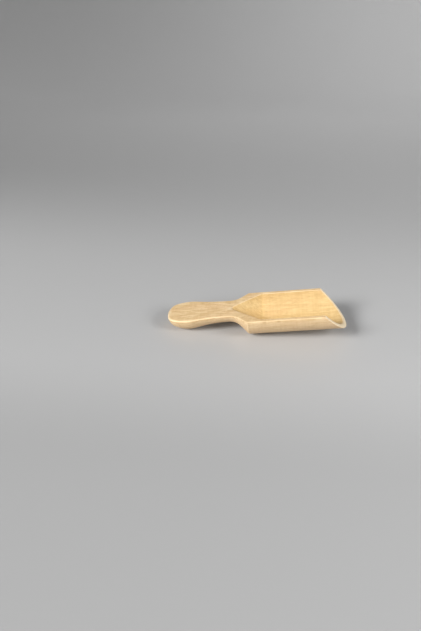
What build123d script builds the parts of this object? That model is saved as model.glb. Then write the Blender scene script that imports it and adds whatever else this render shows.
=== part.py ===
from build123d import *
import math
import os

os.makedirs("parts", exist_ok=True)

# A small scoop turned, drilled and sawn from one piece of pale wood. Lengths are millimetres, angles degrees.
# It is drawn with the turning axis along X, the mouth towards +X and the shoulder's edge at X = 0.
# Then it is laid on the plane Z = 0 as it rests: on the shoulder's edge and the grip, with the mouth raised.

# Bowl
bowl_diameter = 25.0
bowl_wall = 1.85
rim_length = 31.6
mouth_overhang = 9.8
flat_below_axis = 1.15

# Drilled hollow
bore_start = 5.8
drill_point_angle = 73.4

# Handle
shoulder_angle = 46.5
waist_diameter = 13.6
flare_run = 2.9
throat_length = 17.5
grip_diameter = 17.5
grip_tail = 9.4
grip_flank_radius = 13.7
end_cap_radius = 13.0
knuckle_radius = 5.0

# Finish
edge_round = 0.3
saw_overrun = 4.0

# Sizes that follow from those above
bowl_radius = bowl_diameter / 2
bore_radius = bowl_radius - bowl_wall
waist_radius = waist_diameter / 2
grip_radius = grip_diameter / 2
mouth_tip = rim_length + mouth_overhang
blank_end = mouth_tip + saw_overrun
drill_tip = bore_start - bore_radius / math.tan(math.radians(drill_point_angle / 2))


def arc_about(centre, radius, start, end):
    """The shorter arc about a centre, from the direction of one point to the direction of another."""
    first = math.atan2(start[1] - centre[1], start[0] - centre[0])
    last = math.atan2(end[1] - centre[1], end[0] - centre[0])
    points = []
    for angle in (first, (first + last) / 2, last):
        points.append((centre[0] + radius * math.cos(angle), centre[1] + radius * math.sin(angle)))
    return ThreePointArc(*points)


def along(start, towards, distance):
    """The point at a distance from the start, on the line through two points."""
    share = distance / math.dist(start, towards)
    return (start[0] + (towards[0] - start[0]) * share, start[1] + (towards[1] - start[1]) * share)


# The handle's outline, as (place along the axis, radius) points
shoulder_slope = math.radians(shoulder_angle)
shoulder_foot = -(bowl_radius - waist_radius) / math.tan(shoulder_slope)
waist = (shoulder_foot - flare_run, waist_radius)
grip_crown = (waist[0] - throat_length, grip_radius)
handle_end = (grip_crown[0] - grip_tail, 0)

# The flare is tangent to the waist and to the shoulder's cone
flare_radius = flare_run / math.tan(shoulder_slope / 2)
flare_centre = (waist[0], waist_radius + flare_radius)
flare_top = (
    flare_centre[0] + flare_radius * math.sin(shoulder_slope),
    flare_centre[1] - flare_radius * math.cos(shoulder_slope),
)

# The throat's hollow arc is tangent to the waist and to the grip's flank
step_in = grip_radius - waist_radius
centre_distance = (throat_length**2 + step_in**2) / (2 * step_in)
throat_radius = centre_distance - grip_flank_radius
flank_centre = (grip_crown[0], grip_radius - grip_flank_radius)
throat_centre = (waist[0], waist_radius + throat_radius)
throat_start = along(flank_centre, throat_centre, grip_flank_radius)

# The knuckle joins the end cap to the grip's flank, tangent to both
cap_centre = (handle_end[0] + end_cap_radius, 0)
cap_reach = end_cap_radius - knuckle_radius
flank_reach = grip_flank_radius - knuckle_radius
centre_gap = math.dist(cap_centre, flank_centre)
towards_flank = (cap_reach**2 - flank_reach**2 + centre_gap**2) / (2 * centre_gap)
sideways = math.sqrt(cap_reach**2 - towards_flank**2)
foot = along(cap_centre, flank_centre, towards_flank)
knuckle_centre = (
    foot[0] + sideways * (flank_centre[1] - cap_centre[1]) / centre_gap,
    foot[1] - sideways * (flank_centre[0] - cap_centre[0]) / centre_gap,
)
cap_edge = along(cap_centre, knuckle_centre, end_cap_radius)
flank_edge = along(flank_centre, knuckle_centre, grip_flank_radius)


def turned_blank():
    """The solid as it leaves the lathe: rounded grip, waist, coned shoulder and plain cylinder."""
    shoulder_edge = (0, bowl_radius)
    outline = [
        arc_about(cap_centre, end_cap_radius, handle_end, cap_edge),
        arc_about(knuckle_centre, knuckle_radius, cap_edge, flank_edge),
        arc_about(flank_centre, grip_flank_radius, flank_edge, throat_start),
        arc_about(throat_centre, throat_radius, throat_start, waist),
        arc_about(flare_centre, flare_radius, waist, flare_top),
        Line(flare_top, shoulder_edge),
        Line(shoulder_edge, (blank_end, bowl_radius)),
        Line((blank_end, bowl_radius), (blank_end, 0)),
        Line((blank_end, 0), handle_end),
    ]
    return revolve(make_face(outline), Axis.X)


def drilled_hollow():
    """The space cut by a cone-pointed drill that enters at the mouth."""
    drill_end = blank_end + saw_overrun
    outline = Polyline((drill_tip, 0), (bore_start, bore_radius), (drill_end, bore_radius), (drill_end, 0), close=True)
    return revolve(make_face(outline), Axis.X)


def wood_above_flat():
    """The upper part of the blank, which a lengthwise saw cut takes away."""
    length = blank_end - handle_end[0] + 2 * saw_overrun
    width = bowl_diameter + 2 * saw_overrun
    height = bowl_radius + flat_below_axis + saw_overrun
    middle = (blank_end + handle_end[0]) / 2
    return Pos(middle, 0, height / 2 - flat_below_axis) * Box(length, width, height)


def wood_beyond_mouth():
    """The end of the blank, which a slanted saw cut from the rim to the tip takes away."""
    rim_corner = (rim_length, -flat_below_axis)
    tip = (mouth_tip, -bowl_radius)
    cut_length = math.dist(rim_corner, tip)
    above = along(tip, rim_corner, cut_length + saw_overrun)
    below = along(rim_corner, tip, cut_length + saw_overrun)
    far = blank_end + saw_overrun
    outline = Plane.XZ * Polyline(above, below, (far, below[1]), (far, above[1]), close=True)
    half_width = bowl_radius + saw_overrun
    return extrude(make_face(outline), half_width, both=True)


def sawn_scoop():
    """The scoop on its turning axis, with its sawn edges rounded by sanding."""
    scoop = turned_blank() - wood_above_flat() - drilled_hollow() - wood_beyond_mouth()
    flat = scoop.faces().filter_by(Axis.Z).sort_by(Axis.Z)[-1]
    mouth = scoop.faces().filter_by(GeomType.PLANE).sort_by(Axis.X)[-1]
    sawn_edges = ShapeList(set(flat.edges() + mouth.edges()))
    return fillet(sawn_edges, edge_round)


def rest_tilt():
    """The angle at which one line touches both the shoulder's edge and the grip's underside."""
    back = -flank_centre[0]
    down = bowl_radius - flank_centre[1]
    slant = math.atan2(back, down)
    return math.degrees(math.acos(grip_flank_radius / math.hypot(back, down)) - slant)


def laid_down(scoop):
    """The scoop at rest on Z = 0, with the origin under the middle of its outline."""
    tilted = scoop.rotate(Axis.Y, -rest_tilt())
    box = tilted.bounding_box()
    return Pos(-box.center().X, 0, -box.min.Z) * tilted


export_step(laid_down(sawn_scoop()), "parts/scoop.step")
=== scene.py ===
import math

import bpy
import numpy as np
from mathutils import Matrix, Vector


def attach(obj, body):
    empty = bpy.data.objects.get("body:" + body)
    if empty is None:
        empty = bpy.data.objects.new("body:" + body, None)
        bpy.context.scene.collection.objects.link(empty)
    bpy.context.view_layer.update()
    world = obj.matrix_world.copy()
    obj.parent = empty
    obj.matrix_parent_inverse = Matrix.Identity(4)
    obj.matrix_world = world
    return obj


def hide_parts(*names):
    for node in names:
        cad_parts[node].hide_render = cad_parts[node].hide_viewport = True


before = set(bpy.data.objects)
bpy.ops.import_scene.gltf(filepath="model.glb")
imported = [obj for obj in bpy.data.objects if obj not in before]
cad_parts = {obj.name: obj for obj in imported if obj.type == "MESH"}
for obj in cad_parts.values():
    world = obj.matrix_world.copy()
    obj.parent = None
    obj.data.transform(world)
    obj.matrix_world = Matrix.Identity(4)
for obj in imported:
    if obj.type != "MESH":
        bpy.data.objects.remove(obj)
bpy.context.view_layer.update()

scene = bpy.context.scene
scene.view_settings.view_transform = "Standard"

MM = 0.001

# Where the shoulder's edge lies along the frame, whose origin is under the middle of the outline
SHOULDER_X = -3.88 * MM

# The camera, as solved from the photograph, over a level floor with the scoop's shoulder on it
IMAGE_LONG_SIDE = 631
FOCAL_PIXELS = 496.1
SENSOR_WIDTH = 36.0
CAMERA_HEIGHT = 119.7 * MM
CAMERA_PITCH = math.radians(31.71)
CAMERA_ROLL = math.radians(0.22)
SHOULDER_RIGHT = 15.8 * MM
SHOULDER_AHEAD = 182.7 * MM
SCOOP_TURN = math.radians(-5.43)
NEAREST_SEEN = 5 * MM
FARTHEST_SEEN = 10

# The stage, in metres: a flat floor that bends up into a round backdrop
FLAT_RADIUS = 0.6
BEND_RADIUS = 0.9
WALL_HEIGHT = 1.8
INNER_RINGS = (0.15, 0.3)
BEND_STEPS = 24
STAGE_SIDES = 96
FLOOR_TONE = 0.475
FLOOR_ROUGHNESS = 0.5
FLOOR_GLOSS = 0.3
SIDEWAYS_LIMIT = 0.45
ROOM_LIGHT = 0.035


def make_camera():
    """The photograph's view. The scoop lies square in the frame, so the camera takes its turn instead."""
    data = bpy.data.cameras.new("camera")
    data.sensor_width = SENSOR_WIDTH
    data.lens = SENSOR_WIDTH * FOCAL_PIXELS / IMAGE_LONG_SIDE
    data.clip_start = NEAREST_SEEN
    data.clip_end = FARTHEST_SEEN
    camera = bpy.data.objects.new("camera", data)
    scene.collection.objects.link(camera)
    unturn = Matrix.Rotation(-SCOOP_TURN, 4, "Z")
    place = unturn @ Vector((-SHOULDER_RIGHT, -SHOULDER_AHEAD, 0))
    place += Vector((SHOULDER_X, 0, CAMERA_HEIGHT))
    look_down = Matrix.Rotation(math.pi / 2 - CAMERA_PITCH, 4, "X")
    roll = Matrix.Rotation(CAMERA_ROLL, 4, "Z")
    camera.matrix_world = Matrix.Translation(place) @ unturn @ look_down @ roll
    scene.camera = camera


def area_light(name, azimuth, elevation, distance, size, power):
    """A square soft light aimed at the scoop. Azimuth 0 is behind the camera, and positive to its right."""
    data = bpy.data.lights.new(name, "AREA")
    data.shape = "SQUARE"
    data.size = size
    data.energy = power
    light = bpy.data.objects.new(name, data)
    light.visible_camera = False
    scene.collection.objects.link(light)
    turn, rise = math.radians(azimuth), math.radians(elevation)
    back = Vector((math.sin(turn) * math.cos(rise), -math.cos(turn) * math.cos(rise), math.sin(rise)))
    light.location = back * distance
    light.rotation_mode = "QUATERNION"
    light.rotation_quaternion = back.to_track_quat("Z", "Y")


def make_lights():
    """A strong light from the left, a weaker one from the right, a soft one overhead and a dim room."""
    area_light("left_softbox", azimuth=-50, elevation=31, distance=1.2, size=0.36, power=16.8)
    area_light("right_softbox", azimuth=58, elevation=31, distance=0.45, size=0.17, power=1.14)
    area_light("overhead", azimuth=0, elevation=85, distance=0.9, size=0.6, power=0.45)
    world = bpy.data.worlds.new("studio")
    scene.world = world
    world.use_nodes = True
    background = world.node_tree.nodes["Background"]
    background.inputs["Color"].default_value = (1, 1, 1, 1)
    background.inputs["Strength"].default_value = ROOM_LIGHT


def floor_mesh():
    """A flat disc that curves up into a round backdrop."""
    profile = [(r, 0) for r in (*INNER_RINGS, FLAT_RADIUS)]
    for i in range(1, BEND_STEPS + 1):
        a = math.pi / 2 * i / BEND_STEPS
        profile.append((FLAT_RADIUS + BEND_RADIUS * math.sin(a), BEND_RADIUS * (1 - math.cos(a))))
    profile.append((FLAT_RADIUS + BEND_RADIUS, WALL_HEIGHT))
    verts, faces = [(0, 0, 0)], []
    for r, z in profile:
        for s in range(STAGE_SIDES):
            a = 2 * math.pi * s / STAGE_SIDES
            verts.append((r * math.cos(a), r * math.sin(a), z))
    for s in range(STAGE_SIDES):
        faces.append((0, 1 + s, 1 + (s + 1) % STAGE_SIDES))
    for k in range(len(profile) - 1):
        for s in range(STAGE_SIDES):
            a, b = 1 + k * STAGE_SIDES + s, 1 + k * STAGE_SIDES + (s + 1) % STAGE_SIDES
            faces.append((a, a + STAGE_SIDES, b + STAGE_SIDES, b))
    mesh = bpy.data.meshes.new("floor")
    mesh.from_pydata(verts, [], faces)
    mesh.shade_smooth()
    return mesh


def make_floor():
    """A pale grey satin sheet whose colour carries painted light: darker towards the camera, lighter far
    away and to the right of there.
    """
    mesh = floor_mesh()
    floor = bpy.data.objects.new("floor", mesh)
    scene.collection.objects.link(floor)
    material = bpy.data.materials.new("floor")
    material.use_nodes = True
    g = Graph(material)
    place = g.add("ShaderNodeTexCoord").outputs["Object"]
    rightwards, away = g.dot(place, (1, 0, 0)), g.dot(place, (0, 1, 0))
    # Painted light and shade, as the lamps' light would fall off and pool: darker near the camera, a little
    # darker just beyond the scoop, lighter far away and to the right
    near = g.step(away, low=-0.08, high=-0.025, out_low=0.84, out_high=1.02)
    middle = g.step(away, low=0.05, high=0.16, out_low=1.0, out_high=0.94)
    far = g.step(away, low=0.16, high=0.62, out_low=1.0, out_high=1.75)
    slant = g.step(away, low=0.05, high=0.25, out_low=0.15, out_high=1.0)
    levelled = g.math("TANH", g.math("DIVIDE", rightwards, SIDEWAYS_LIMIT))
    rightwards = g.math("MULTIPLY", levelled, SIDEWAYS_LIMIT)
    sideways = g.math("ADD", g.math("MULTIPLY", rightwards, slant), 1.0)
    tone = g.math("MULTIPLY", g.math("MULTIPLY", near, middle), g.math("MULTIPLY", far, sideways))
    tone = g.math("MULTIPLY", tone, FLOOR_TONE)
    shader = g.nodes["Principled BSDF"]
    g.set(shader.inputs["Base Color"], tone)
    shader.inputs["Roughness"].default_value = FLOOR_ROUGHNESS
    shader.inputs["Specular IOR Level"].default_value = FLOOR_GLOSS
    mesh.materials.append(material)


class Graph:
    """Short calls that add nodes to a material. An input is a plain value or another node's output."""

    def __init__(self, material):
        self.nodes = material.node_tree.nodes
        self.links = material.node_tree.links

    def set(self, socket, value):
        if isinstance(value, bpy.types.NodeSocket):
            self.links.new(value, socket)
        else:
            socket.default_value = value

    def add(self, kind, inputs=(), **settings):
        node = self.nodes.new(kind)
        for name, value in settings.items():
            setattr(node, name, value)
        for key, value in dict(inputs).items():
            self.set(node.inputs[key], value)
        return node

    def math(self, operation, *values):
        return self.add("ShaderNodeMath", enumerate(values), operation=operation).outputs[0]

    def vector(self, operation, *values):
        return self.add("ShaderNodeVectorMath", enumerate(values), operation=operation).outputs[0]

    def scaled(self, a, factor):
        return self.add("ShaderNodeVectorMath", {0: a, "Scale": factor}, operation="SCALE").outputs[0]

    def dot(self, a, b):
        return self.add("ShaderNodeVectorMath", {0: a, 1: b}, operation="DOT_PRODUCT").outputs["Value"]

    def length(self, a):
        return self.add("ShaderNodeVectorMath", {0: a}, operation="LENGTH").outputs["Value"]

    def step(self, value, low, high, out_low=0.0, out_high=1.0):
        """A smooth rise of the output while the value goes from low to high."""
        inputs = {"Value": value, "From Min": low, "From Max": high, "To Min": out_low, "To Max": out_high}
        node = self.add("ShaderNodeMapRange", inputs, interpolation_type="SMOOTHSTEP")
        return node.outputs["Result"]

    def noise(self, place, size, detail=2.0, roughness=0.5):
        """Noise from 0 to 1 whose blobs are the given number of millimetres long, wide and high."""
        stretched = self.vector("DIVIDE", place, size)
        inputs = {"Vector": stretched, "Scale": 1.0, "Detail": detail, "Roughness": roughness}
        return self.add("ShaderNodeTexNoise", inputs).outputs[0]

    def noise_vector(self, place, size):
        """Three independent noises about zero, as a vector."""
        stretched = self.vector("DIVIDE", place, size)
        node = self.add("ShaderNodeTexNoise", {"Vector": stretched, "Scale": 1.0, "Detail": 1.0})
        return self.vector("SUBTRACT", node.outputs["Color"], (0.5, 0.5, 0.5))

    def cells(self, place, size):
        """For cells of the given size, the distance to the nearest centre and a random number for each."""
        stretched = self.vector("DIVIDE", place, size)
        inputs = {"Vector": stretched, "Scale": 1.0}
        node = self.add("ShaderNodeTexVoronoi", inputs, voronoi_dimensions="3D")
        channels = self.add("ShaderNodeSeparateColor", {"Color": node.outputs["Color"]})
        return node.outputs["Distance"], channels.outputs["Red"]

    def mask(self, name):
        """A number from 0 to 1 that the mesh keeps for each of its points."""
        return self.add("ShaderNodeAttribute", attribute_name=name).outputs["Fac"]

    def mix(self, factor, a, b, blend="MIX"):
        """Colour a, and colour b by the factor."""
        node = self.add("ShaderNodeMix", data_type="RGBA", blend_type=blend)
        self.set(node.inputs["Factor"], factor)
        self.set(node.inputs[6], a)
        self.set(node.inputs[7], b)
        return node.outputs[2]


# The wood's colours, in linear light, and the tints that its grain and the tools' work give it. Some also
# carry painted light and shade: the sawn end, the sanded edges, the cone and the turned side.
WOOD = (0.808, 0.596, 0.338, 1)
LATE_WOOD = (0.700, 0.475, 0.235, 1)
PINK_WOOD = (0.790, 0.550, 0.315, 1)
# Partly the sawn end grain's own pale colour, partly painted light on the mouth's cut
SAWN_END_AND_PAINTED_LIGHT = (0.970, 0.805, 0.560, 1)
# Partly the paleness of sanded edges, partly a painted highlight along them
SANDED_EDGE_AND_PAINTED_HIGHLIGHT = (0.870, 0.680, 0.425, 1)
PALE_TINT = (1.060, 1.080, 1.110, 1)
DARK_TINT = (0.880, 0.825, 0.740, 1)
FLECK_TINT = (0.640, 0.540, 0.420, 1)
FIBRE_TINT = (0.940, 0.920, 0.880, 1)
BORED_TINT = (0.880, 0.845, 0.695, 1)
# Painted light: the drill's cone is lightened against the bore, for light that the lamps don't give it
CONE_PAINTED_LIGHT = (1.120, 1.130, 1.070, 1)
# Painted shade: the turned side a little darker and greyer than the flat top, as the light falls on it
LATHED_PAINTED_SHADE = (0.945, 0.935, 0.955, 1)

# What each point of the surface belongs to: the hollow, its cone, the sawn end, the turned side, and a worn
# edge or pale spot, which also carries a painted highlight
MASKS = ("bored", "coned", "sawn", "lathed", "sanded_and_painted_highlight")

# The growth rings, in millimetres. The tree's heart lies outside the blank.
RING_WIDTH = 1.9
FROM_HEART = (0, 11, 37)
RING_LEAN = (0, 0.035, -0.02)
WAVER_SIZE = (45, 9, 9)
WAVER_DEPTH = 3.2
FINE_WAVER_SIZE = (14, 2.2, 2.2)
FINE_WAVER_DEPTH = 0.5
LATE_WOOD_POWER = 2.6
RING_END = 0.90
FAINTEST_RING = 0.35

# The grain's sizes, in millimetres along the turning axis, sideways and upwards
STREAK_SIZE = (5.5, 0.8, 1.6)
FIBRE_SIZE = (3, 0.16, 0.16)
MOTTLE_SIZE = (16, 6, 6)
PORE_SIZE = (1.6, 0.26, 0.26)
FLECK_SIZE = (3.0, 0.6, 3.5)
CROSS_MARK_SIZE = (0.8, 9, 9)
BEND_SIZE = (5, 1.6, 1.6)
FLECK_BEND = 0.5
SEED_SHIFT = (3.7, 1.3, 2.1)

# How strongly each part of the grain shows, from 0 to 1
RINGS_SHOW = 0.7
END_RINGS_SHOW = 0.25
MOTTLE_SHOWS = 0.6
FLECKS_SHOW = 0.65
PORES_SHOW = 0.4
CROSS_MARKS_SHOW = 0.55
# How strongly the sawn end's colour shows; it holds painted light
SAWN_AND_PAINTED_LIGHT_SHOWS = 0.95
# How strongly the sanded edges' colour shows; it holds a painted highlight
SANDED_AND_PAINTED_HIGHLIGHT_SHOWS = 0.9
LOST_IN_HOLLOW = 0.45
LOST_ON_LATHED = 0.6

# The relief, in millimetres
FIBRE_HEIGHT = 0.012
STREAK_HEIGHT = 0.02
PORE_DEPTH = 0.012
LATHE_RING_HEIGHT = 0.0012
LATHE_RING_PITCH = 0.7
CROSS_MARK_HEIGHT = 0.02

# The roughness: least where the streaks are pale
SMOOTHEST = 0.46
ROUGHEST = 0.6


def turning_frame(g):
    """The point in millimetres, with X along the turning axis from the shoulder's edge."""
    shoulder = (SHOULDER_X, 0, axis_height)
    from_shoulder = g.vector("SUBTRACT", g.add("ShaderNodeTexCoord").outputs["Object"], shoulder)
    in_mm = g.vector("DIVIDE", from_shoulder, (MM, MM, MM))
    inputs = {"Vector": in_mm, "Angle": tilt}
    return g.add("ShaderNodeVectorRotate", inputs, rotation_type="Y_AXIS").outputs[0]


def growth_rings(g, place):
    """0 in the early wood, rising to 1 in the late wood at each ring's end."""
    along = g.dot(place, (1, 0, 0))
    across = g.vector("MULTIPLY", place, (0, 1, 1))
    from_heart = g.vector("ADD", g.vector("ADD", across, g.scaled(RING_LEAN, along)), FROM_HEART)
    waver = g.math("MULTIPLY", g.noise(place, WAVER_SIZE, detail=1.5), WAVER_DEPTH)
    fine_waver = g.math("MULTIPLY", g.noise(place, FINE_WAVER_SIZE, detail=1), FINE_WAVER_DEPTH)
    radius = g.math("ADD", g.math("ADD", g.length(from_heart), waver), fine_waver)
    count = g.math("DIVIDE", radius, RING_WIDTH)
    share = g.math("FRACT", count)
    rise = g.math("POWER", share, LATE_WOOD_POWER)
    fall = g.step(share, low=RING_END, high=1.0, out_low=1.0, out_high=0.0)
    number = g.add("ShaderNodeTexWhiteNoise", {"W": g.math("FLOOR", count)}, noise_dimensions="1D")
    strength = g.step(number.outputs["Value"], low=0, high=1, out_low=FAINTEST_RING)
    return g.math("MULTIPLY", g.math("MULTIPLY", rise, fall), strength)


def grain_flecks(g, place, size, share, seed):
    """Dark spindles along the grain: 1 at the heart of the chosen share of cells, weaker in some of them."""
    moved = g.vector("ADD", place, [seed * shift for shift in SEED_SHIFT])
    bend = g.vector("MULTIPLY", g.noise_vector(moved, BEND_SIZE), (FLECK_BEND, FLECK_BEND, FLECK_BEND))
    distance, pick = g.cells(g.vector("ADD", moved, bend), size)
    chosen = g.step(pick, low=1 - share, high=1.0)
    spindle = g.step(distance, low=0.1, high=0.42, out_low=1, out_high=0)
    return g.math("MULTIPLY", spindle, g.math("POWER", chosen, 0.5))


def wood_colour(g, place, streaks, fibres, marks, pores):
    """Faint growth rings, mottle, streaks and flecks, changed by drill, lathe, saw and sanding, with painted
    light on the cone, the sawn end and the worn edges, and painted shade on the turned side.
    """
    bored, coned, sawn, lathed, sanded_and_painted_highlight = (g.mask(name) for name in MASKS)
    rings = growth_rings(g, place)
    mottle = g.noise(place, MOTTLE_SIZE)
    flecks = grain_flecks(g, place, FLECK_SIZE, share=0.5, seed=2)

    colour = g.mix(g.math("MULTIPLY", rings, RINGS_SHOW), WOOD, LATE_WOOD)
    colour = g.mix(g.step(mottle, low=0.42, high=0.68, out_high=MOTTLE_SHOWS), colour, PINK_WOOD)
    tint = g.mix(g.step(streaks, low=0.34, high=0.62), PALE_TINT, DARK_TINT)
    off_hollow = g.math("MULTIPLY_ADD", bored, -LOST_IN_HOLLOW, 1.0)
    on_flat = g.math("SUBTRACT", off_hollow, g.math("MULTIPLY", lathed, LOST_ON_LATHED))
    colour = g.mix(on_flat, colour, tint, "MULTIPLY")
    fleck_share = g.math("MULTIPLY", flecks, g.math("MULTIPLY", on_flat, FLECKS_SHOW))
    colour = g.mix(fleck_share, colour, FLECK_TINT, "MULTIPLY")
    colour = g.mix(g.step(fibres, low=0.3, high=0.7), colour, FIBRE_TINT, "MULTIPLY")
    mark_share = g.step(marks, low=0.42, high=0.62, out_high=CROSS_MARKS_SHOW)
    colour = g.mix(mark_share, colour, PALE_TINT, "MULTIPLY")

    colour = g.mix(bored, colour, BORED_TINT, "MULTIPLY")
    # Painted light on the drill's cone
    colour = g.mix(coned, colour, CONE_PAINTED_LIGHT, "MULTIPLY")
    # Painted shade on the turned side
    colour = g.mix(lathed, colour, LATHED_PAINTED_SHADE, "MULTIPLY")
    # Worn edges and pale spots: sanding's paleness with a painted highlight
    colour = g.mix(g.math("MULTIPLY", sanded_and_painted_highlight, SANDED_AND_PAINTED_HIGHLIGHT_SHOWS), colour, SANDED_EDGE_AND_PAINTED_HIGHLIGHT)
    # The mouth's cut: its end grain's own colour, lifted by painted light
    end_grain_and_painted_light = g.mix(g.math("MULTIPLY", rings, END_RINGS_SHOW), SAWN_END_AND_PAINTED_LIGHT, LATE_WOOD)
    colour = g.mix(g.math("MULTIPLY", sawn, SAWN_AND_PAINTED_LIGHT_SHOWS), colour, end_grain_and_painted_light)
    return g.mix(g.math("MULTIPLY", pores, PORES_SHOW), colour, FLECK_TINT, "MULTIPLY")


def wood_relief(g, place, streaks, fibres, marks, pores):
    """The surface's direction, from raised fibres, sunken pores and the fine rings that a lathe leaves."""
    along = g.dot(place, (1, 0, 0))
    lathe_rings = g.math("SINE", g.math("MULTIPLY", along, 2 * math.pi / LATHE_RING_PITCH))
    height = g.math("MULTIPLY", fibres, FIBRE_HEIGHT)
    height = g.math("ADD", height, g.math("MULTIPLY", streaks, STREAK_HEIGHT))
    height = g.math("SUBTRACT", height, g.math("MULTIPLY", pores, PORE_DEPTH))
    height = g.math("ADD", height, g.math("MULTIPLY", lathe_rings, LATHE_RING_HEIGHT))
    height = g.math("ADD", height, g.math("MULTIPLY", marks, CROSS_MARK_HEIGHT))
    return g.add("ShaderNodeBump", {"Height": height, "Strength": 1.0, "Distance": MM}).outputs[0]


def make_wood():
    """Pale close-grained wood, whose grain runs along the turning axis."""
    material = bpy.data.materials.new("pale_wood")
    material.use_nodes = True
    g = Graph(material)
    place = turning_frame(g)
    streaks = g.noise(place, STREAK_SIZE, roughness=0.6)
    fibres = g.noise(place, FIBRE_SIZE, roughness=0.6)
    marks = g.noise(place, CROSS_MARK_SIZE)
    pores = grain_flecks(g, place, PORE_SIZE, share=0.4, seed=1)
    sheen = g.step(streaks, low=0.2, high=0.8, out_low=SMOOTHEST, out_high=ROUGHEST)
    shader = g.nodes["Principled BSDF"]
    g.set(shader.inputs["Base Color"], wood_colour(g, place, streaks, fibres, marks, pores))
    g.set(shader.inputs["Roughness"], sheen)
    g.set(shader.inputs["Normal"], wood_relief(g, place, streaks, fibres, marks, pores))
    return material


# The scoop's driving sizes, in millimetres and degrees
BOWL_RADIUS = 12.5
BORE_RADIUS = 10.65
RIM_LENGTH = 31.6
MOUTH_OVERHANG = 9.8
FLAT_BELOW_AXIS = 1.15
BORE_START = 5.8
DRILL_POINT_ANGLE = 73.4
SHOULDER_ANGLE = 46.5
WAIST_RADIUS = 6.8
FLARE_RUN = 2.9
THROAT_LENGTH = 17.5
GRIP_RADIUS = 8.75
GRIP_TAIL = 9.4
GRIP_FLANK_RADIUS = 13.7
END_CAP_RADIUS = 13.0
KNUCKLE_RADIUS = 5.0

# How far sanding has rounded each kind of edge, in millimetres
GRIP_ROUND = 0.8
OUTER_ROUND = 0.38
RIM_ROUND = 0.38
MOUTH_ROUND = 0.33
LIP_ROUND = 0.5
SHOULDER_ROUND = 0.26
BORE_ROUND = 0.3
LIP_REACH = 2.5

# How deep the surface is worn, in millimetres, and each slow wave's length, turns about the axis and start
SANDING_DEPTH = 0.05
SANDING_WAVES = ((2.9, 2.1, 0), (4.7, -3.0, 1.3), (1.9, 1, 4.0))
RIPPLE_DEPTH = 0.012
RIPPLE_LENGTH = 1.7
RIPPLE_DRIFT = 0.6
DRIFT_LENGTH = 3.1

# How far each mask reaches from its edge or corner, in millimetres
BORED_REACH = 0.12
CONE_BLEND = 0.3
SAWN_REACH = 0.3
SAWN_RISE = 0.8
LATHED_BELOW_FLAT = 0.5
LATHED_BEHIND_MOUTH = 0.3
WORN_DEPTH = 0.09
APEX_SPOT = 1.3
APEX_SPOT_BACK = 0.9
SHOULDER_SPOT = 0.42
SHOULDER_SPOT_FADE = 0.3

# How strong the masks are at their weaker places, and what sanding with a painted highlight adds at others,
# from 0 to 1
SAWN_AT_HOLLOW = 0.4
WEAR_AND_PAINTED_HIGHLIGHT_ON_SIDES = 0.6
WORN_GRIP_END = 0.4
WEAR_AND_PAINTED_HIGHLIGHT_LESS_IN_HOLLOW = 0.2
APEX_PALE = 0.85
SHOULDER_PALE = 0.6

# The mesh: rows round the section and across the rim, and how strongly they crowd towards the edges
WALL_ROWS = 48
RIM_ROWS = 16
CROWDING = 0.86
FAN_RIBS = 30
LEAN_POWER = 1.5
SETTLE_ROUNDS = 8
SEARCH_SHARE = 1.1
HALVINGS = 50
SMALL_STEP = 0.001
HAIR = 1e-9
GLUE_DIGITS = 7

slope = math.radians(SHOULDER_ANGLE)
drill_slope = math.radians(DRILL_POINT_ANGLE / 2)
drill_tip = BORE_START - BORE_RADIUS / math.tan(drill_slope)
apex = drill_tip + FLAT_BELOW_AXIS / math.tan(drill_slope)
mouth_depth = BOWL_RADIUS - FLAT_BELOW_AXIS
mouth_slant = MOUTH_OVERHANG / mouth_depth
mouth_size = math.hypot(mouth_depth, MOUTH_OVERHANG)
search_radius = SEARCH_SHARE * BOWL_RADIUS


def outline_arcs():
    """The turned outline's arcs: where each ends, its centre, its radius, and 1 if round or -1 if hollow."""
    waist_x = -(BOWL_RADIUS - WAIST_RADIUS) / math.tan(slope) - FLARE_RUN
    crown_x = waist_x - THROAT_LENGTH
    end_x = crown_x - GRIP_TAIL
    flare_radius = FLARE_RUN / math.tan(slope / 2)
    step_in = GRIP_RADIUS - WAIST_RADIUS
    throat_radius = (THROAT_LENGTH**2 + step_in**2) / (2 * step_in) - GRIP_FLANK_RADIUS
    flare = (waist_x, WAIST_RADIUS + flare_radius)
    throat = (waist_x, WAIST_RADIUS + throat_radius)
    flank = (crown_x, GRIP_RADIUS - GRIP_FLANK_RADIUS)
    cap = (end_x + END_CAP_RADIUS, 0)
    cap_reach, flank_reach = END_CAP_RADIUS - KNUCKLE_RADIUS, GRIP_FLANK_RADIUS - KNUCKLE_RADIUS
    gap = math.dist(cap, flank)
    share = (cap_reach**2 - flank_reach**2 + gap**2) / (2 * gap**2)
    sideways = math.sqrt(cap_reach**2 - (share * gap) ** 2) / gap
    across = (flank[0] - cap[0], flank[1] - cap[1])
    knuckle_x = cap[0] + across[0] * share + across[1] * sideways
    knuckle = (knuckle_x, cap[1] + across[1] * share - across[0] * sideways)
    cap_edge = cap[0] + (knuckle[0] - cap[0]) * END_CAP_RADIUS / cap_reach
    flank_edge = flank[0] + (knuckle[0] - flank[0]) * GRIP_FLANK_RADIUS / flank_reach
    throat_start = flank[0] + (throat[0] - flank[0]) * GRIP_FLANK_RADIUS / math.dist(flank, throat)
    return [
        (cap_edge, cap, END_CAP_RADIUS, 1),
        (flank_edge, knuckle, KNUCKLE_RADIUS, 1),
        (throat_start, flank, GRIP_FLANK_RADIUS, 1),
        (waist_x, throat, throat_radius, -1),
        (waist_x + flare_radius * math.sin(slope), flare, flare_radius, -1),
    ]


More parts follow.
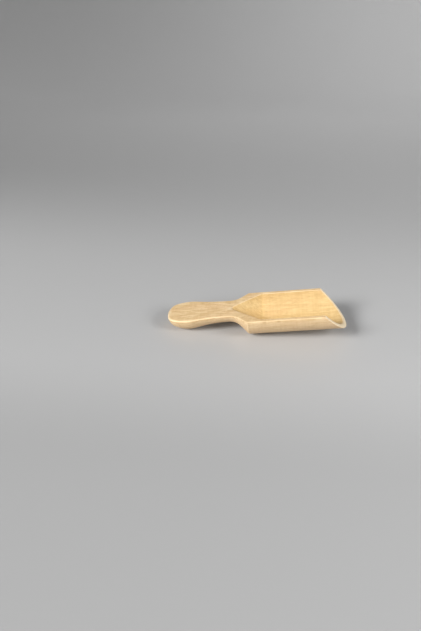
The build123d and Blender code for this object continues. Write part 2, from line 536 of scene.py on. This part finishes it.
def rest_tilt(crown_x):
    """The axis's rise towards the mouth, as the scoop lies on the shoulder's edge and the grip."""
    down = BOWL_RADIUS - (GRIP_RADIUS - GRIP_FLANK_RADIUS)
    slant = math.atan2(-crown_x, down)
    return math.acos(GRIP_FLANK_RADIUS / math.hypot(crown_x, down)) - slant


ARCS = outline_arcs()
grip_crown = ARCS[2][1][0]
waist = ARCS[3][0]
flare_end = ARCS[-1][0]
tilt = rest_tilt(grip_crown)
axis_height = BOWL_RADIUS * math.cos(tilt) * MM


def both(a, b, radius, cosine=0.0):
    """Inside both forms at once, with the edge rounded. The cosine is of the angle between their normals."""
    past_a, past_b = a + radius, b + radius
    in_fan = (past_a > cosine * past_b) & (past_b > cosine * past_a)
    squares = past_a**2 + past_b**2 - 2 * cosine * past_a * past_b
    rounded = np.sqrt(np.maximum(squares, 0) / (1 - cosine**2)) - radius
    return np.where(in_fan, rounded, np.maximum(a, b))


def turned(x, r):
    """Distance from the turned outline, negative inside the wood."""
    cone = (r - BOWL_RADIUS) * math.cos(slope) - x * math.sin(slope)
    tests, distances = [], []
    for end, centre, radius, sign in ARCS:
        tests.append(x < end)
        distances.append(sign * (np.hypot(x - centre[0], r - centre[1]) - radius))
    return np.select(tests, distances, both(cone, r - BOWL_RADIUS, SHOULDER_ROUND))


def cut_distances(p):
    """Distances from the sawn flat, the drill's cone, the bore and the slanted mouth."""
    x, y, z = p.T
    r = np.hypot(y, z)
    flat = z + FLAT_BELOW_AXIS
    cone = r * math.cos(drill_slope) - (x - drill_tip) * math.sin(drill_slope)
    mouth = ((x - RIM_LENGTH) * mouth_depth + flat * MOUTH_OVERHANG) / mouth_size
    return flat, cone, r - BORE_RADIUS, mouth


def wood(p):
    """Distance from the finished scoop's surface, negative inside the wood."""
    x, y, z = p.T
    flat, cone, bore, mouth = cut_distances(p)
    towards_grip = np.clip((waist - x) / (waist - grip_crown), 0, 1)
    edge_round = OUTER_ROUND + (GRIP_ROUND - OUTER_ROUND) * towards_grip
    blank = both(turned(x, np.hypot(y, z)), flat, edge_round)
    mouth_cosine = MOUTH_OVERHANG / mouth_size * z / np.hypot(y, z)
    outside = both(blank, mouth, MOUTH_ROUND, mouth_cosine)
    towards_mouth = np.clip(1 + mouth / LIP_REACH, 0, 1)
    rim_round = RIM_ROUND + (LIP_ROUND - RIM_ROUND) * towards_mouth
    return both(outside, -both(cone, bore, BORE_ROUND), rim_round)


def gradient(p):
    """How fast the distance from the surface grows in each direction."""
    columns = []
    for axis in np.eye(3) * SMALL_STEP:
        columns.append((wood(p + axis) - wood(p - axis)) / (2 * SMALL_STEP))
    return np.stack(columns, 1)


def settle(p):
    """Moves each point straight to the finished surface."""
    for _ in range(SETTLE_ROUNDS):
        slopes = gradient(p)
        p = p - slopes * (wood(p) / (slopes**2).sum(1))[:, None]
    return p


def worn(p):
    """Sinks the surface by hundredths of a millimetre, in slow waves and in finer ripples along the axis."""
    x, y, z = p.T
    around = np.arctan2(y, -z)
    slow = sum(np.sin(x / length + turns * around + start) for length, turns, start in SANDING_WAVES)
    ripple = np.sin(2 * math.pi * x / RIPPLE_LENGTH + RIPPLE_DRIFT * np.sin(x / DRIFT_LENGTH))
    share = slow / (2 * len(SANDING_WAVES)) + 0.5
    depth = SANDING_DEPTH * share + RIPPLE_DEPTH * (ripple / 2 + 0.5)
    slopes = gradient(p)
    return p - slopes / np.linalg.norm(slopes, axis=1)[:, None] * depth[:, None]


def crowded(rows, start=CROWDING, end=0.0):
    """Shares from 0 to 1 that crowd towards the start, the end or both."""
    t = np.linspace(0, 1, rows + 1)
    if start and end:
        return t - start * np.sin(2 * math.pi * t) / (2 * math.pi)
    if end:
        return 1 - crowded(rows, end)[::-1]
    return t - start * np.sin(math.pi * t) / math.pi


def ray_to_outline(x, azimuth, dips):
    """Points where rays from the flat's middle line at x, in one direction, meet the turned surface."""
    way = np.stack([np.cos(azimuth) * np.cos(dips), np.sin(azimuth) * np.cos(dips), -np.sin(dips)], 1)
    origin = np.array([x, 0, -FLAT_BELOW_AXIS])
    near, far = np.zeros(len(dips)), np.full(len(dips), search_radius)
    for _ in range(HALVINGS):
        middle = (near + far) / 2
        p = origin + way * middle[:, None]
        inside = turned(p[:, 0], np.hypot(p[:, 1], p[:, 2])) < 0
        near, far = np.where(inside, middle, near), np.where(inside, far, middle)
    p = origin + way * near[:, None]
    p[-1, 1] = 0
    return p


def stations():
    """Places along the axis from the grip to the mouth, crowded where the outline turns."""
    # Each span's start and end, its rows, and how strongly they crowd towards its start and its end
    spans = [
        (grip_crown, waist, 34, 0, 0),
        (waist, apex, 5, 0, 0),
        (apex, 0, 22, 0.5, 0.5),
        (0, BORE_START, 16, 0.6, 0.6),
        (BORE_START, RIM_LENGTH, 60, 0, 0.9),
    ]
    places = [grip_crown]
    for first, last, count, start, end in spans:
        shares = crowded(count, start, end) if start or end else np.linspace(0, 1, count + 1)
        places.extend(first + (last - first) * shares[1:])
    return np.array(places)


def leaned(points, place):
    """A section's points, leaned into the mouth's slant, the more so the nearer they are to the mouth."""
    share = max((place - BORE_START) / (RIM_LENGTH - BORE_START), 0)
    lean = share**LEAN_POWER * mouth_slant
    return points + np.array([[lean, 0, 0]]) * (-FLAT_BELOW_AXIS - points[:, 2:])


def hollow_section(place):
    """Half of the drilled hollow's section, from the flat down to the bottom."""
    bore = min((place - drill_tip) * math.tan(drill_slope), BORE_RADIUS)
    turns = math.acos(FLAT_BELOW_AXIS / bore) * (1 - crowded(WALL_ROWS))
    wall = np.stack([np.full_like(turns, place), bore * np.sin(turns), -bore * np.cos(turns)], 1)
    wall[0] = (place, math.sqrt(bore**2 - FLAT_BELOW_AXIS**2), -FLAT_BELOW_AXIS)
    wall[-1, 1] = 0
    return leaned(wall, place)


def surface_grids():
    """The surface of one half, as grids of points: outside, flat, hollow and mouth."""
    dips = crowded(WALL_ROWS) * math.pi / 2
    across = crowded(RIM_ROWS, CROWDING, CROWDING)
    outside, flat, hollow = [], [], []
    for azimuth in np.linspace(math.pi, math.pi / 2, FAN_RIBS, endpoint=False):
        rib = ray_to_outline(grip_crown, azimuth, dips)
        if azimuth == math.pi:
            rib[:, 1] = 0
        outside.append(rib)
        middle = np.array([grip_crown, 0, -FLAT_BELOW_AXIS])
        flat.append(middle + (rib[0] - middle) * across[:, None])
    for place in stations():
        rib = ray_to_outline(place, math.pi / 2, dips)
        rib[:, 0] = place
        inner = np.array([place, 0, -FLAT_BELOW_AXIS])
        if place > apex + HAIR:
            hollow.append(hollow_section(place))
            inner = hollow[-1][0]
        elif place > apex - HAIR:
            hollow.append(np.tile(inner, (WALL_ROWS + 1, 1)))
        rib = leaned(rib, place)
        rib[0, 2] = -FLAT_BELOW_AXIS
        outside.append(rib)
        flat.append(inner + (rib[0] - inner) * across[:, None])
    last_out, last_in = outside[-1], hollow[-1]
    mouth = last_in[:, None] + (last_out - last_in)[:, None] * across[None, :, None]
    return np.array(outside), np.array(flat), np.array(hollow), mouth


def glued(grids):
    """One set of points and faces from the grids and their mirror images, joined where points coincide."""
    points, quads = [], []
    total = 0
    for grid, turn in grids:
        for side in (1, -1):
            rows, columns = grid.shape[:2]
            index = total + np.arange(rows * columns).reshape(rows, columns)
            corners = [index[:-1, :-1], index[1:, :-1], index[1:, 1:], index[:-1, 1:]]
            if turn * side < 0:
                corners.reverse()
            quads.append(np.stack(corners, -1).reshape(-1, 4))
            points.append(grid.reshape(-1, 3) * (1, side, 1))
            total += rows * columns
    points = np.round(np.concatenate(points), GLUE_DIGITS) + 0.0
    points, index = np.unique(points, axis=0, return_inverse=True)
    faces = []
    for quad in index.reshape(-1)[np.concatenate(quads)]:
        corners = list(dict.fromkeys(quad.tolist()))
        if len(corners) > 2:
            faces.append(corners)
    return points, faces


def fade(values):
    """The values held between 0 and 1."""
    return np.clip(values, 0, 1)


def sharp_distance(p):
    """Distance from the scoop as it would be with no edge rounded, negative inside the wood."""
    x, y, z = p.T
    r = np.hypot(y, z)
    flat, cone, bore, mouth = cut_distances(p)
    shoulder = (r - BOWL_RADIUS) * math.cos(slope) - x * math.sin(slope)
    blank = np.where(x < flare_end, turned(x, r), np.maximum(shoulder, r - BOWL_RADIUS))
    return np.max([blank, flat, mouth, -np.maximum(cone, bore)], 0)


def surface_masks(p):
    """The five masks for each point: the hollow, its cone, the mouth's cut, the turned side, worn edges and
    pale spots that also carry a painted highlight.
    """
    x, y, z = p.T
    flat, cone, bore, mouth = cut_distances(p)
    hollow = np.maximum(cone, bore)
    bored = fade(1 - hollow / BORED_REACH)
    coned = bored * fade(0.5 + (cone - bore) / CONE_BLEND)
    # The mouth's cut, which gets its end grain colour and painted light, weaker towards the hollow
    sawn = fade(1 + mouth / SAWN_REACH) * fade(SAWN_AT_HOLLOW + hollow / SAWN_RISE)
    lathed = fade(-flat - LATHED_BELOW_FLAT) * (1 - bored) * fade(-mouth / LATHED_BEHIND_MOUTH)

    at_end = fade((grip_crown - x) / GRIP_TAIL)
    # Paleness of the rounded edges: sanding wear and a painted highlight, more at the grip's end and less in
    # the hollow
    paleness = (WEAR_AND_PAINTED_HIGHLIGHT_ON_SIDES + WORN_GRIP_END * at_end) * (1 - WEAR_AND_PAINTED_HIGHLIGHT_LESS_IN_HOLLOW * bored)
    rounded = fade(-sharp_distance(p) / WORN_DEPTH) * paleness
    # Pale spots at the V's apex and round the shoulder's edge: partly worn fibres, partly a painted
    # highlight
    from_apex = np.sqrt((x - apex + APEX_SPOT_BACK) ** 2 + y**2 + (z + FLAT_BELOW_AXIS) ** 2)
    from_shoulder = np.hypot(x, np.hypot(y, z) - BOWL_RADIUS)
    apex_spot = APEX_PALE * fade(APEX_SPOT - from_apex)
    shoulder_spot = SHOULDER_PALE * fade((SHOULDER_SPOT - from_shoulder) / SHOULDER_SPOT_FADE)
    sanded_and_painted_highlight = np.max([rounded, apex_spot, shoulder_spot], 0)
    return bored, coned, sawn, lathed, sanded_and_painted_highlight


def make_scoop():
    """The turned scoop as one closed mesh, laid in the frame where the CAD solid lies."""
    outside, flat, hollow, mouth = surface_grids()
    points, faces = glued([(outside, 1), (flat, 1), (hollow, -1), (mouth, 1)])
    points = settle(points)
    masks = surface_masks(points)
    points = worn(points)
    mesh = bpy.data.meshes.new("turned_scoop")
    mesh.from_pydata(points.tolist(), [], faces)
    mesh.shade_smooth()
    for name, values in zip(MASKS, masks):
        mask = mesh.attributes.new(name, "FLOAT", "POINT")
        mask.data.foreach_set("value", values.astype(np.float32))
    laid = Matrix.Translation((SHOULDER_X, 0, axis_height)) @ Matrix.Rotation(-tilt, 4, "Y")
    mesh.transform(laid @ Matrix.Scale(MM, 4))
    mesh.materials.append(make_wood())
    scoop = bpy.data.objects.new("turned_scoop", mesh)
    scene.collection.objects.link(scoop)
    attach(scoop, "root")
    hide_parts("scoop")


make_camera()
make_lights()
make_floor()
make_scoop()
